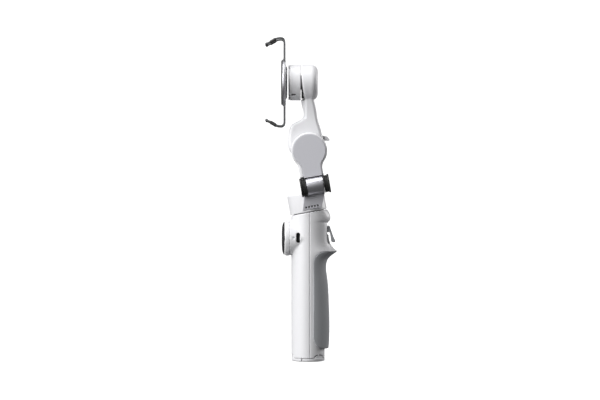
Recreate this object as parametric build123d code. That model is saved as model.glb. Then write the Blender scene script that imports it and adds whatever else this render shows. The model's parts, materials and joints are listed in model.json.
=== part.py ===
from build123d import *
import math
import os

# A three-axis phone gimbal: a hand grip with a folding tripod in its foot and a telescopic rod in
# its core, a pan motor on the rod, a folding arm, tilt and roll motors, and a magnetic phone clamp.
# Row frame: +Z up the grip, -X towards the dial and the phone, -Y the charging-socket side.
# The origin is the middle of the foot. All sizes are in millimetres.

# Driving dimensions
FIT = 0.02                  # radial clearance of shafts in bearings
GAP = 0.6                   # visible gap between parts that turn against each other

HANDLE_RX, HANDLE_RY = 15.3, 17.0
HANDLE_WALL = 1.6
RIM_Z = 3.2                 # bottom edge of the handle shells; the tripod feet lie below it
PARTING_X = 1.5             # joint between the front and the rear shell
LEAN = 10.0                 # backward lean of the pan axis, degrees
SEAM_X, SEAM_Z = 0.6, 136.2  # where the pan axis meets the top of the handle

DIAL_Z = 112.5
DIAL_R, BEZEL_R = 15.2, 15.9
BEZEL_X, BOSS_X = -21.2, -17.2

SOCKET_X, SOCKET_Z = -9.0, 113.2

DRUM_R, DRUM_H = 17.0, 18.0
HINGE_U, HINGE_Y, HINGE_W = 10.0, -24.3, 23.3   # fold hinge in the leaning frame
BARREL_R, BARREL_HALF = 7.6, 7.8
KNUCKLE_R, KNUCKLE_END = 8.5, 13.4
PIN_R = 3.0
TILT_U, TILT_W = 10.2, 55.4
ARM_NEAR, ARM_FAR = -26.0, -15.0                # y of the lower arm's two faces
ARM_DISC_R = 16.4
TILT_DRUM_R, TILT_DRUM_END = 15.5, -2.0

ROLL_Z, ROLL_R = 255.7, 16.4
ROLL_SPLIT_X, ROLL_FRONT_X, ROLL_REAR_X = -6.4, -16.8, 9.0

CLAMP_R = 21.8
WIRE_R, WIRE_X, WIRE_Y = 0.9, -21.6, 11.0
PHONE_HALF = 35.6           # half the width of the phone that the jaws hold

ROD_X = SEAM_X
ROD_RADII = [7.7, 6.9, 6.1, 5.3]
ROD_WALL = 0.65
ROD_Z0, ROD_Z1 = 73.0, 129.0

LEG_PIVOT_R, LEG_PIVOT_Z = 3.4, 49.2
LEG_THICK, LEG_WIDE, LEG_NARROW = 3.6, 10.0, 4.6
LEG_ANGLES = [-50.0, 70.0, 190.0]
NOTCH_HALF, NOTCH_TOP = 5.6, 6.2
COLUMN_R, COLUMN_Z0, COLUMN_Z1 = 12.8, 44.0, 70.0

FAR = 200.0                 # larger than the object, for cutting tools

HEAD = Location((SEAM_X, 0, SEAM_Z), (0, -LEAN, 0))


def in_head(u, y, w):
    """A point given in the leaning frame, as a point in the row frame."""
    return (HEAD * Location((u, y, w))).position


TILT_AT = in_head(TILT_U, 0, TILT_W)


def ring(outer, inner, z0, z1):
    """A round tube along Z."""
    return Pos(0, 0, (z0 + z1) / 2) * (Cylinder(outer, z1 - z0) - Cylinder(inner, z1 - z0 + 1))


def disc(radius, z0, z1):
    return Pos(0, 0, (z0 + z1) / 2) * Cylinder(radius, abs(z1 - z0))


def box(x0, x1, y0, y1, z0, z1):
    return Pos((x0 + x1) / 2, (y0 + y1) / 2, (z0 + z1) / 2) * Box(x1 - x0, y1 - y0, z1 - z0)


def side_plate(points, y0, y1, curve=Polyline):
    """A shape drawn in the X-Z plane, from y0 to y1."""
    face = make_face(Plane.XZ * curve(*points, close=True))
    return Pos(0, y0, 0) * extrude(face, amount=y1 - y0, dir=(0, 1, 0))


def only(shape):
    """The largest solid of a cut, without the crumbs that a cut can leave."""
    return max(shape.solids(), key=lambda s: s.volume)


# ---------------------------------------------------------------- handle

def oval(z, rear, half=HANDLE_RY):
    """A horizontal section of the handle: half an ellipse in front, and one that reaches to rear behind."""
    front_arc = EllipticalCenterArc((0, 0), HANDLE_RX, half, 90, arc_size=180)
    rear_arc = EllipticalCenterArc((0, 0), rear, half, -90, arc_size=180)
    return Pos(0, 0, z) * make_face([front_arc, rear_arc])


GRIP_REAR = [(11.5, 19.0), (21.0, 19.6), (56.0, 19.1), (76.0, 17.7), (88.0, 16.7),
             (93.5, 18.3), (98.0, 23.4), (100.8, 27.1)]        # (z, x) points of the rear edge
NECK_REAR = [(100.8, 27.1), (103.6, 23.4), (108.5, 20.2), (118.0, 18.8), (127.6, 18.4)]
SHOULDER_REAR = [(127.6, 18.4), (129.4, 20.3), (131.4, 20.7), (136.6, 19.2), (142.0, 15.6)]
TRUNK_REAR = [(60.0, 15.3), (74.0, 15.6), (88.0, 16.7), (93.5, 18.3), (98.0, 23.4), (100.8, 27.1)]
GRIP_LINE_X = 4.7           # front edge of the grip
GRIP_Z0, GRIP_Z1 = 11.5, 100.8
GRIP_CORNER = 11.5
GRIP_SWELL = 0.4            # how far the grip stands out at its widest


def oval_loft(rear_edge, count, half=HANDLE_RY):
    """A loft of ovals whose rear follows a smooth curve through the given (z, x) points."""
    curve = Spline(*rear_edge)
    stations = [curve @ (n / count) for n in range(count + 1)]
    return loft([oval(p.X, p.Y, half) for p in stations], ruled=True)


def below_seam(depth):
    """Everything that lies lower than depth under the pan axis's seat on the handle."""
    return HEAD * box(-FAR, FAR, -FAR, FAR, -FAR, -depth)


def handle_outside():
    lower = Pos(0, 0, RIM_Z) * extrude(Ellipse(HANDLE_RX, HANDLE_RY), amount=TRUNK_REAR[0][0] - RIM_Z)
    trunk = lower + oval_loft(TRUNK_REAR, 20) + oval_loft(NECK_REAR, 16) + oval_loft(SHOULDER_REAR, 16)
    boss = loft([
        Plane((BOSS_X, 0, DIAL_Z), x_dir=(0, 1, 0), z_dir=(-1, 0, 0)) * Circle(BEZEL_R - 0.2),
        Plane((-10.0, 0, DIAL_Z), x_dir=(0, 1, 0), z_dir=(-1, 0, 0)) * Ellipse(16.1, 13.0),
        Plane((-1.0, 0, DIAL_Z), x_dir=(0, 1, 0), z_dir=(-1, 0, 0)) * Ellipse(16.8, 7.5),
    ])
    return (trunk + boss) & below_seam(0)


def handle_hollow():
    """The space inside the shells, the pan base's seat and the openings in the walls."""
    rx, ry = HANDLE_RX - HANDLE_WALL, HANDLE_RY - HANDLE_WALL
    hollow = extrude(Ellipse(rx, ry), amount=ROD_Z1)
    seat = HEAD * disc(15.1, -2.4, 1)
    rod_hole = Pos(ROD_X, 0, 0) * disc(ROD_RADII[0] + 0.15, ROD_Z1 - 1, 150)
    dial_well = Pos(0, 0, DIAL_Z) * Rot(0, -90, 0) * disc(13.8, 8.0, 30.0)
    socket = box(SOCKET_X - 1.63, SOCKET_X + 1.63, -20, -9, SOCKET_Z - 4.5, SOCKET_Z + 4.5)
    socket = fillet(socket.edges().filter_by(Axis.Y), 1.55)
    trigger_slot = box(12.0, 30.0, -5.2, 5.2, 116.0, 126.5)
    light = Pos(-12.9, 0, SOCKET_Z) * Rot(90, 0, 0) * disc(0.8, 8.0, 20.0)
    return hollow + seat + rod_hole + dial_well + socket + trigger_slot + light


def arch(half, height, r0, r1):
    """An arched block over the flat end, from radius r0 to r1 along +X."""
    rise = 2.2
    foot = box(r0, r1, -half, half, 0, height - rise)
    top = extrude(Ellipse(rise, half), amount=(r1 - r0) / 2, both=True)
    return foot + Pos((r0 + r1) / 2, 0, height - rise) * Rot(0, 90, 0) * top


def finger_notches():
    """An arched notch in the lower rim above each tripod foot."""
    return [Rot(0, 0, a) * arch(NOTCH_HALF, NOTCH_TOP, 10.0, 20.0) for a in LEG_ANGLES]


def screw_bosses(radius, x0, x1):
    return [Pos(0, y, 124.9) * Rot(0, 90, 0) * disc(radius, x0, x1) for y in (-11.2, 11.2)]


def handle_shells():
    body = handle_outside() - grip_zone() - handle_hollow()
    for boss in screw_bosses(2.6, -4.0, 7.0):
        body = body + (boss & extrude(Ellipse(HANDLE_RX - 1, HANDLE_RY - 1), amount=140))
    for hole in screw_bosses(1.0, -3.0, 5.5) + screw_bosses(1.75, 5.4, 8.0):
        body = body - hole
    for notch in finger_notches():
        body = body - notch
    pin = Pos(TRIGGER_X, 0, TRIGGER_Z) * Rot(90, 0, 0) * disc(1.02, -6.5, 6.5)
    body = body - pin
    front = body & box(-FAR, PARTING_X - 0.1, -FAR, FAR, -FAR, FAR)
    rear = body & box(PARTING_X, FAR, -FAR, FAR, -FAR, FAR)
    return only(front), only(rear)


def grip_zone():
    """The zone around the plain trunk that belongs to the grip, with its two rounded corners."""
    width = 40.0 - GRIP_LINE_X
    zone = Pos(GRIP_LINE_X + width / 2, (GRIP_Z0 + GRIP_Z1) / 2) * Rectangle(width, GRIP_Z1 - GRIP_Z0)
    zone = fillet(zone.vertices().sort_by(Axis.X)[:2], GRIP_CORNER)
    zone = Pos(0, 30, 0) * Rot(90, 0, 0) * extrude(zone, amount=60)
    return zone - extrude(Ellipse(HANDLE_RX, HANDLE_RY), amount=130)


def grip_sleeve():
    return only(oval_loft(GRIP_REAR, 24, HANDLE_RY + GRIP_SWELL) & grip_zone())


def socket_shell():
    """The charging socket: a steel shell with its contact tongue."""
    shell = box(SOCKET_X - 1.6, SOCKET_X + 1.6, -15.7, -9.2, SOCKET_Z - 4.45, SOCKET_Z + 4.45)
    shell = fillet(shell.edges().filter_by(Axis.Y), 1.5)
    bore = box(SOCKET_X - 1.25, SOCKET_X + 1.25, -17, -10.0, SOCKET_Z - 4.1, SOCKET_Z + 4.1)
    bore = fillet(bore.edges().filter_by(Axis.Y), 1.2)
    tongue = box(SOCKET_X - 0.35, SOCKET_X + 0.35, -15.0, -9.9, SOCKET_Z - 3.3, SOCKET_Z + 3.3)
    return shell - bore + tongue


def charge_light():
    return Pos(-12.9, 0, SOCKET_Z) * Rot(90, 0, 0) * disc(0.78, 13.9, 15.75)


def battery_cells():
    cells = [box(-6.0, 8.0, y, y + 4.6, 76.0, 120.0) for y in (-13.1, 8.5)]
    return Compound([fillet(c.edges().filter_by(Axis.Z), 1.2) for c in cells])


def main_board():
    """The control board behind the rod, with its chips."""
    board = box(9.0, 10.0, -8.0, 8.0, 77.0, 110.0)
    chips = [box(10.0, 11.1, y, y + w, z, z + w) for y, z, w in
             ((-6.0, 80.0, 5.0), (1.0, 82.0, 4.0), (-5.0, 92.0, 6.0), (3.0, 95.0, 3.0))]
    for chip in chips:
        board = board + chip
    return board


def rod_sleeve():
    """The rod's guide tube on the cross wall that closes the tripod's chamber."""
    tube = ring(ROD_RADII[0] + 0.65, ROD_RADII[0] + 0.15, ROD_Z0 - 1, ROD_Z1)
    wall = extrude(Ellipse(HANDLE_RX - HANDLE_WALL, HANDLE_RY - HANDLE_WALL), amount=ROD_Z0 - COLUMN_Z1 - 1.2)
    return Pos(ROD_X, 0, 0) * tube + Pos(0, 0, COLUMN_Z1 + 1) * wall


TRIGGER_X, TRIGGER_Z = 16.0, 121.6
TRIGGER_OUTLINE = [(17.6, 124.0), (19.3, 124.2), (20.1, 123.4), (21.5, 119.0), (23.2, 114.2), (25.1, 110.3),
                   (24.6, 109.1), (22.6, 108.8), (21.3, 109.8), (20.9, 113.6), (20.2, 117.8), (17.0, 118.6)]


def trigger_lever():
    blade = side_plate(TRIGGER_OUTLINE, -4.8, 4.8)
    hub = Pos(TRIGGER_X, 0, TRIGGER_Z) * Rot(90, 0, 0) * disc(2.4, -4.8, 4.8)
    web = side_plate([(16.0, 119.4), (19.0, 118.4), (19.2, 123.8), (16.0, 123.9)], -4.8, 4.8)
    lever = blade + hub + web
    bore = Pos(TRIGGER_X, 0, TRIGGER_Z) * Rot(90, 0, 0) * disc(1.06, -9, 9)
    lever = lever - bore
    outer = lever.edges().filter_by(lambda e: e.center().X > 21.3 and abs(abs(e.center().Y) - 4.8) < 0.01)
    return fillet(outer, 0.9)


def trigger_pin():
    return Pos(TRIGGER_X, 0, TRIGGER_Z) * Rot(90, 0, 0) * disc(1.0, -6.4, 6.4)


def shell_screws():
    screws = []
    for thread, head in zip(screw_bosses(0.95, -2.6, 5.6), screw_bosses(1.7, 5.6, 6.8)):
        screws.append(thread + head)
    return Compound(screws)


# ---------------------------------------------------------------- dial and joystick

def facing_front(shape, z=DIAL_Z):
    """Turns a shape drawn along +Z so that it points to -X, on an axis at height z."""
    return Pos(0, 0, z) * Rot(0, -90, 0) * shape


def turned(points):
    """A solid of revolution about Z from (radius, z) points."""
    return revolve(make_face(Plane.XZ * Polyline(*[(r, z) for r, z in points], close=True)), Axis.Z)


def dial_bezel():
    profile = [(13.2, 17.2), (BEZEL_R, 17.2), (BEZEL_R, 20.4), (BEZEL_R - 0.8, 21.2), (13.2, 21.2),
               (13.2, 19.6), (11.6, 19.6), (11.6, 18.6), (13.2, 18.6)]
    return facing_front(turned(profile))


def dial_ring():
    """The turning ring: a sloped gloss face over a drum that runs in the bezel."""
    profile = [(9.1, 21.6), (DIAL_R - 0.2, 21.6), (DIAL_R, 21.9), (DIAL_R - 0.5, 22.5), (13.2, 23.3),
               (10.9, 23.8), (9.6, 23.9), (9.1, 23.5)]
    skirt = ring(12.9, 11.9, 19.9, 21.7)
    return facing_front(turned(profile) + skirt)


JOYSTICK_PIVOT = 17.0


def joystick_yoke():
    return facing_front(ring(4.6, 3.0, JOYSTICK_PIVOT - 1.1, JOYSTICK_PIVOT + 1.1))


def joystick_cap():
    """A dished thumb cap on its stem."""
    cap = turned([(0, 22.2), (7.0, 22.2), (8.0, 22.8), (8.0, 23.5), (7.2, 24.1), (6.2, 24.1),
                  (3.6, 23.6), (0, 23.4)])
    return facing_front(cap + disc(2.0, 14.6, 22.4))


# ---------------------------------------------------------------- telescopic rod and motors

def rod_stage(n):
    radius = ROD_RADII[n]
    tube = ring(radius, radius - ROD_WALL, ROD_Z0, ROD_Z1)
    return Pos(ROD_X, 0, 0) * tube


TEETH, MAGNETS = 12, 14
HUB_R, BORE_R, SHAFT_R = 6.2, 5.0, 2.5
YOKE_R, TOOTH_HALF = 7.8, 0.8


def stator(outer, z0, z1):
    """The laminated core of a motor: a ring with broad-tipped teeth."""
    tips = Circle(outer) - Circle(outer - 0.9)
    core = Circle(YOKE_R) + tips
    for n in range(TEETH):
        turn = Rot(0, 0, n * 360 / TEETH)
        core = core + turn * Pos((YOKE_R + outer) / 2 - 0.3, 0) * Rectangle(outer - YOKE_R, 2 * TOOTH_HALF)
    for n in range(TEETH):
        turn = Rot(0, 0, (n + 0.5) * 360 / TEETH)
        core = core - turn * Pos(outer - 0.5, 0) * Rectangle(1.6, 0.8)
    core = core - Circle(HUB_R)
    return Pos(0, 0, z0) * extrude(core, amount=z1 - z0)


def coils(outer, z0, z1):
    """One copper coil round each tooth of the core."""
    length = outer - 1.1 - YOKE_R - 0.3
    middle = YOKE_R + 0.2 + length / 2
    wound = Pos(middle, 0, (z0 + z1) / 2) * (
        Box(length, 3.2, z1 - z0 + 1.4) - Box(length + 1, 2 * TOOTH_HALF + 0.1, z1 - z0 + 0.1))
    return Compound([Rot(0, 0, n * 360 / TEETH) * wound for n in range(TEETH)])


def magnets(outer, z0, z1):
    """A ring of separate magnets inside a motor's drum."""
    whole = ring(outer, outer - 1.8, z0, z1)
    for n in range(MAGNETS):
        whole = whole - Rot(0, 0, n * 360 / MAGNETS) * box(0, outer + 1, -0.2, 0.2, z0 - 1, z1 + 1)
    return Compound(whole.solids())


def bearing(z0, z1):
    """A ball bearing drawn as its outline, with the groove between its two races."""
    race = ring(BORE_R, SHAFT_R + FIT, z0, z1)
    groove = ring(4.2, 3.4, z1 - 0.4, z1 + 1) + ring(4.2, 3.4, z0 - 1, z0 + 0.4)
    return race - groove


def hub(z0, z1):
    return ring(HUB_R, BORE_R, z0, z1)


# ---------------------------------------------------------------- pan motor, in the leaning frame

PAN_MAGNET_R = 14.4


def pan_base():
    """The plate that seats in the handle's top, with the motor's hub and the spigot for the rod."""
    plate = HEAD * (disc(14.6, -2.2, 0.2) + disc(PAN_MAGNET_R - 0.6, 0, 1.2) + hub(0, 13.0))
    spigot = Pos(ROD_X, 0, 0) * disc(ROD_RADII[-1] - ROD_WALL, 110.0, 140.0)
    spigot = spigot & (HEAD * box(-30, 30, -30, 30, -60, -0.5))
    well = HEAD * disc(SHAFT_R + 0.3, 0.2, 5)
    return plate + spigot - well


def pan_drum():
    drum = disc(DRUM_R, GAP, GAP + DRUM_H)
    drum = fillet(drum.edges().sort_by(Axis.Z)[-1], 1.3)
    drum = chamfer(drum.edges().sort_by(Axis.Z)[0], 0.4)
    drum = drum - disc(PAN_MAGNET_R, -1, 16.0) + disc(SHAFT_R, 1.6, 16.5)
    return HEAD * drum


NECK_SIDE = [(-12.6, 2.6), (-17.6, 2.8), (-19.0, 8.6), (-20.2, 14.0), (-20.6, 18.2),
             (-16.0, 23.4), (-12.6, 23.4)]                     # y, w
NECK_FRONT = [(-5.2, 2.5), (12.2, 2.5), (17.6, 15.2), (17.6, 26.0), (2.4, 26.0), (-1.6, 14.8)]  # u, w
VENTS = 5                   # slots in the foot of the neck


def hinge_along(shape):
    """Turns a shape drawn along +Z onto the fold hinge's axis."""
    return HEAD * Pos(HINGE_U, HINGE_Y, HINGE_W) * Rot(0, 90, 0) * shape


def neck_bracket():
    """The bracket that rises from the pan drum's side to the fold hinge's barrel."""
    side = make_face(Plane.YZ * Polyline(*NECK_SIDE, close=True))
    side = Pos(-20, 0, 0) * extrude(side, amount=60, dir=(1, 0, 0))
    front = side_plate(NECK_FRONT, -40, 10)
    block = side & front
    block = HEAD * block
    block = block - HEAD * disc(DRUM_R + 0.02, -1, GAP + DRUM_H + 0.02)
    block = block - hinge_along(disc(BARREL_R, -30, 30))
    for s in (-1, 1):
        block = block - hinge_along(disc(KNUCKLE_R + 0.4, s * BARREL_HALF, s * 30))
    for n in range(VENTS):
        slot = Pos(-1.4 + n * 2.7, -18.4, 5.0) * Box(1.5, 3.0, 1.8)
        block = block - HEAD * slot
    return only(block)


def hinge_barrel():
    barrel = disc(BARREL_R, -BARREL_HALF, BARREL_HALF)
    barrel = chamfer(barrel.edges().filter_by(GeomType.CIRCLE), 0.35)
    return hinge_along(barrel - disc(PIN_R + 0.06, -20, 20))


def hinge_fork():
    """Two flanged knuckles joined by a thin saddle that carries the lower arm."""
    inner = BARREL_HALF + 0.25
    width = KNUCKLE_END - inner
    knuckle = turned([(PIN_R, 0), (KNUCKLE_R - 0.3, 0), (KNUCKLE_R - 0.3, 0.9), (7.5, 1.3),
                      (7.5, width - 1.8), (KNUCKLE_R, width - 1.5), (KNUCKLE_R, width - 0.3),
                      (KNUCKLE_R - 0.3, width), (6.1, width), (6.1, width - 0.9), (PIN_R, width - 0.9)])
    rear = Pos(0, 0, inner) * knuckle
    front = Rot(180, 0, 0) * rear
    arc = ring(9.2, 8.0, -inner - 1.0, inner + 1.0)
    # the saddle spans from 50 to 94 degrees above the inward direction
    wedge = extrude(make_face(Polyline(
        (0, 0), *[(-30 * math.sin(math.radians(a)), 30 * math.cos(math.radians(a))) for a in (50, 72, 94)],
        close=True)), amount=60)
    arc = arc & Pos(0, 0, -30) * wedge
    return hinge_along(front + rear + arc)


def hinge_pin():
    """The steel pin with a flat head sunk in each knuckle."""
    head = disc(5.9, KNUCKLE_END - 0.85, KNUCKLE_END - 0.15)
    pin = disc(PIN_R, -KNUCKLE_END + 0.5, KNUCKLE_END - 0.5)
    return hinge_along(pin + head + Rot(180, 0, 0) * head)


# ---------------------------------------------------------------- lower arm, in the leaning frame

STEM_FRONT, STEM_REAR = -2.2, 19.4


def arm_outline(disc_radius, stem_front, stem_rear, centre_u=TILT_U):
    """A round head on a straight stem, with blended shoulders, drawn with u along X and w along Y."""
    stem = Pos((stem_front + stem_rear) / 2, (24.0 + TILT_W) / 2) * \
        Rectangle(stem_rear - stem_front, TILT_W - 24.0)
    shape = Pos(centre_u, TILT_W) * Circle(disc_radius) + stem
    shoulders = shape.vertices().filter_by(lambda v: 30 < v.Y < 50)
    return fillet(shoulders, 9.0)


def arm_slab(outline, y0, y1):
    """Lifts an outline into the leaning frame's side plane, from y0 to y1."""
    slab = extrude(outline, amount=y1 - y0)
    return HEAD * Pos(0, y1, 0) * Rot(90, 0, 0) * slab


def lower_arm_shell():
    arm = arm_slab(arm_outline(ARM_DISC_R, STEM_FRONT, STEM_REAR), ARM_NEAR, ARM_FAR)
    near = arm.faces().sort_by(Axis.Y)[0]
    arm = fillet(near.edges(), 1.8)
    arm = arm - hinge_along(disc(9.25, -30, 30))
    pocket = HEAD * box(1.5, 16.5, -24.2, -16.6, 33.8, 52.0)
    motor_room = HEAD * Pos(TILT_U, 0, TILT_W) * Rot(-90, 0, 0) * disc(13.6, -24.2, -16.6)
    arm = arm - pocket - motor_room
    recess = arm_slab(arm_outline(ARM_DISC_R - 1.4, STEM_FRONT + 3.2, STEM_REAR - 1.1), -30, ARM_NEAR + 0.8)
    arm = arm - recess
    shaft_hole = HEAD * Pos(TILT_U, 0, TILT_W) * Rot(-90, 0, 0) * disc(SHAFT_R + 0.4, -16.8, -14)
    return only(arm - shaft_hole)


def lower_arm_cover():
    cover = arm_slab(arm_outline(ARM_DISC_R - 1.6, STEM_FRONT + 3.4, STEM_REAR - 1.3),
                     ARM_NEAR - 0.5, ARM_NEAR + 0.8)
    near = cover.faces().sort_by(Axis.Y)[0]
    cover = fillet(near.edges(), 0.4)
    return only(cover - hinge_along(disc(BARREL_R + 0.8, -30, 30)))


# ---------------------------------------------------------------- tilt motor

TILT_MAGNET_R = 13.0


def on_tilt_axis(shape):
    """Turns a shape drawn along +Z onto the tilt axis, with z = 0 at the lower arm's inner face."""
    return Pos(TILT_AT.X, ARM_FAR, TILT_AT.Z) * Rot(-90, 0, 0) * shape


def tilt_hub():
    return on_tilt_axis(disc(9.0, 0, 0.9) - disc(SHAFT_R + 0.4, -1, 2) + hub(0.5, 9.4))


def tilt_drum():
    depth = TILT_DRUM_END - ARM_FAR
    drum = disc(TILT_DRUM_R, GAP, depth)
    drum = chamfer(drum.edges().sort_by(Axis.Z)[0], 0.4)
    return on_tilt_axis(drum - disc(TILT_MAGNET_R, -1, 11.0) + disc(SHAFT_R, -1.2, 11.5))


# ---------------------------------------------------------------- upper arm

UPPER_OUTLINE = [(-6.3, 240.0), (-4.9, 232.0), (-4.6, 224.0), (-8.4, 220.6), (-14.2, 217.6), (-17.4, 211.6),
                 (-18.3, 204.0), (-18.1, 196.0), (-14.3, 189.1), (-8.6, 182.4), (-1.0, 178.0), (6.6, 178.2),
                 (12.6, 182.8), (15.6, 189.6), (15.4, 198.0), (13.8, 205.0), (11.7, 212.7), (9.2, 221.3),
                 (7.4, 232.3), (5.5, 244.0), (4.8, 262.0), (-3.0, 264.0), (-6.3, 258.0)]
UPPER_NEAR, UPPER_FAR = -6.5, 8.5


def arm_bevel():
    """Cuts the near front edge of the arm's neck to a slanted face."""
    cut = extrude(make_face(Polyline((-20.0, UPPER_NEAR - 1), (-1.6, UPPER_NEAR - 1), (-1.6, UPPER_NEAR),
                                     (-7.4, UPPER_NEAR + 6.2), (-20.0, UPPER_NEAR + 6.2), close=True)), amount=60)
    return Pos(0, 0, 222.0) * cut


def upper_arm_shell():
    """The curved arm from the tilt drum up to the roll motor."""
    outline = make_face(Plane.XZ * Spline(*UPPER_OUTLINE, periodic=True))
    arm = Pos(0, UPPER_NEAR, 0) * extrude(outline, amount=UPPER_FAR - UPPER_NEAR, dir=(0, 1, 0))
    faces = arm.faces().sort_by(Axis.Y)
    arm = fillet(faces[0].edges() + faces[-1].edges(), 3.2) - arm_bevel()
    arm = arm - on_tilt_axis(disc(TILT_DRUM_R + 0.02, -5, TILT_DRUM_END - ARM_FAR + 0.02))
    arm = arm - roll_along(disc(ROLL_R + 0.02, -30, 10))
    return only(arm)


def parking_tab():
    """The small catch on the back of the upper arm that the folded head parks against."""
    tab = side_plate([(11.5, 207.4), (17.6, 206.2), (19.8, 203.6), (19.8, 202.3), (12.2, 202.3)], -1.0, 5.0)
    arm = make_face(Plane.XZ * Spline(*UPPER_OUTLINE, periodic=True))
    arm = Pos(0, -30, 0) * extrude(arm, amount=60, dir=(0, 1, 0))
    return only(tab - arm)


# ---------------------------------------------------------------- roll motor

ROLL_MAGNET_R = 14.0


def roll_along(shape):
    """Turns a shape drawn along +Z onto the roll axis, pointing forwards from the split between its halves."""
    return Pos(ROLL_SPLIT_X, 0, ROLL_Z) * Rot(0, -90, 0) * shape


ROLL_SLANT = [(-12.0, 265.0), (-6.7, 265.0), (-1.9, 236.0), (-12.0, 236.0)]


def roll_rear_cap():
    """The fixed rear half of the roll motor, with the hub that carries the core."""
    depth = ROLL_REAR_X - ROLL_SPLIT_X
    cap = disc(ROLL_R, -depth, -GAP / 2)
    cap = fillet(cap.edges().sort_by(Axis.Z)[0], 6.0)
    cap = cap - disc(ROLL_R - 2.4, -depth + 2.4, -7.6)
    cap = roll_along(cap) - side_plate(ROLL_SLANT, -20, 20)
    cap = cap + roll_along(disc(ROLL_R - 1.6, -7.6, -GAP / 2))
    return only(cap + roll_along(hub(-6.0, 8.0)) - roll_along(disc(SHAFT_R + 0.4, -6.2, 2)))


def roll_drum():
    depth = ROLL_SPLIT_X - ROLL_FRONT_X
    drum = disc(ROLL_R, GAP / 2, depth)
    drum = fillet(drum.edges().sort_by(Axis.Z)[-1], 0.8)
    drum = drum - disc(ROLL_MAGNET_R, -1, depth - 1.6) + disc(SHAFT_R, -1.4, depth - 1.2)
    drum = roll_along(drum)
    notch = box(-15.4, -11.2, -1.3, 1.3, -ROLL_R - 1, -ROLL_R + 3.0)
    notch = Pos(0, 0, ROLL_Z) * Rot(-42, 0, 0) * notch
    return only(drum - notch)


def mount_plate():
    """The magnetic seat on the roll motor's face, with an index ear above and below."""
    depth = ROLL_SPLIT_X - ROLL_FRONT_X
    plate = disc(12.4, depth, depth + 1.2)
    ears = [Pos(s * 14.4, 0, depth + 0.6) * Box(3.0, 4.0, 1.2) for s in (-1, 1)]
    links = [Pos(s * 12.6, 0, depth + 0.3) * Box(3.4, 2.4, 0.6) for s in (-1, 1)]
    for extra in ears + links:
        plate = plate + extra
    for n in range(6):
        plate = plate - Rot(0, 0, n * 60 + 30) * Pos(8.6, 0, 0) * disc(2.2, depth + 0.3, depth + 2)
    return roll_along(plate)


def mount_magnets():
    depth = ROLL_SPLIT_X - ROLL_FRONT_X
    return Compound([roll_along(Rot(0, 0, n * 60 + 30) * Pos(8.6, 0, 0) * disc(2.15, depth + 0.3, depth + 1.1))
                     for n in range(6)])


# ---------------------------------------------------------------- phone clamp

def clamp_part(points):
    """A turned part of the clamp; points are (radius, x measured forwards from the row origin)."""
    return Pos(0, 0, ROLL_Z) * Rot(0, -90, 0) * turned(points)


def wire_points(side):
    """The centre line of a jaw's bent wire; side is +1 for the upper jaw and -1 for the lower."""
    def at(x, y, height):
        return (x, y, ROLL_Z + side * height)
    foot, bend, lip = 5.4, PHONE_HALF + 7.6, PHONE_HALF - 0.3
    lip_x = -38.0
    return [at(WIRE_X, WIRE_Y, foot), at(WIRE_X, WIRE_Y, bend), at(lip_x, WIRE_Y, lip),
            at(lip_x, -WIRE_Y, lip), at(WIRE_X, -WIRE_Y, bend), at(WIRE_X, -WIRE_Y, foot)]


def sweep_tube(points, radii, radius):
    path = FilletPolyline(*points, radius=radii)
    start = Plane(path @ 0, z_dir=path % 0)
    return sweep(start * Circle(radius), path=path)


def jaw_wire(side):
    return sweep_tube(wire_points(side), [5.0, 3.0, 3.0, 5.0], WIRE_R)


SLEEVE_SHARE = 0.5          # how much of the sloping wire the sleeve covers


def jaw_sleeve(side):
    """The soft tube over the lip of a jaw."""
    points = wire_points(side)
    start = tuple(a + SLEEVE_SHARE * (b - a) for a, b in zip(points[2], points[1]))
    end = tuple(a + SLEEVE_SHARE * (b - a) for a, b in zip(points[3], points[4]))
    outside = sweep_tube([start, points[2], points[3], end], [3.0, 3.0], WIRE_R + 0.75)
    inside = sweep_tube(points, [5.0, 3.0, 3.0, 5.0], WIRE_R)
    return only(outside - inside)


def clamp_body():
    """The round slide housing of the clamp, with a bore for each of the four jaw wires."""
    body = clamp_part([(0, 20.4), (20.9, 20.4), (CLAMP_R, 21.2), (CLAMP_R, 22.6), (21.2, 23.4), (0, 23.4)])
    for y in (-WIRE_Y, WIRE_Y):
        body = body - Pos(WIRE_X, y, ROLL_Z) * Cylinder(WIRE_R + 0.15, 60)
    return body


def clamp_pad():
    """The soft pad that the phone's back rests on."""
    return clamp_part([(0, 23.4), (20.6, 23.4), (20.6, 24.0), (20.0, 24.6), (0, 24.6)])


def clamp_steel_ring():
    """The steel ring that the magnets hold, with a centring step."""
    return clamp_part([(0, 19.6), (6.0, 19.6), (6.0, 19.1), (13.4, 19.1), (15.0, 19.9), (15.0, 20.4), (0, 20.4)])


# ---------------------------------------------------------------- tripod

FOOT_TOP = RIM_Z - 0.3      # upper face of the folded feet
FOOT_SPLIT = 0.5            # gap between neighbouring feet
FOOT_BUTTON_R = 3.0         # round middle of the first foot


def leg_section():
    """A leg's tapered cross-section, outwards along +X from the column's middle."""
    inner, outer = LEG_PIVOT_R - LEG_THICK / 2, LEG_PIVOT_R + LEG_THICK / 2
    narrow, wide = LEG_NARROW / 2, LEG_WIDE / 2
    return make_face(Polyline((inner, -narrow), (outer, -wide), (outer, wide), (inner, narrow), close=True))


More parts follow.
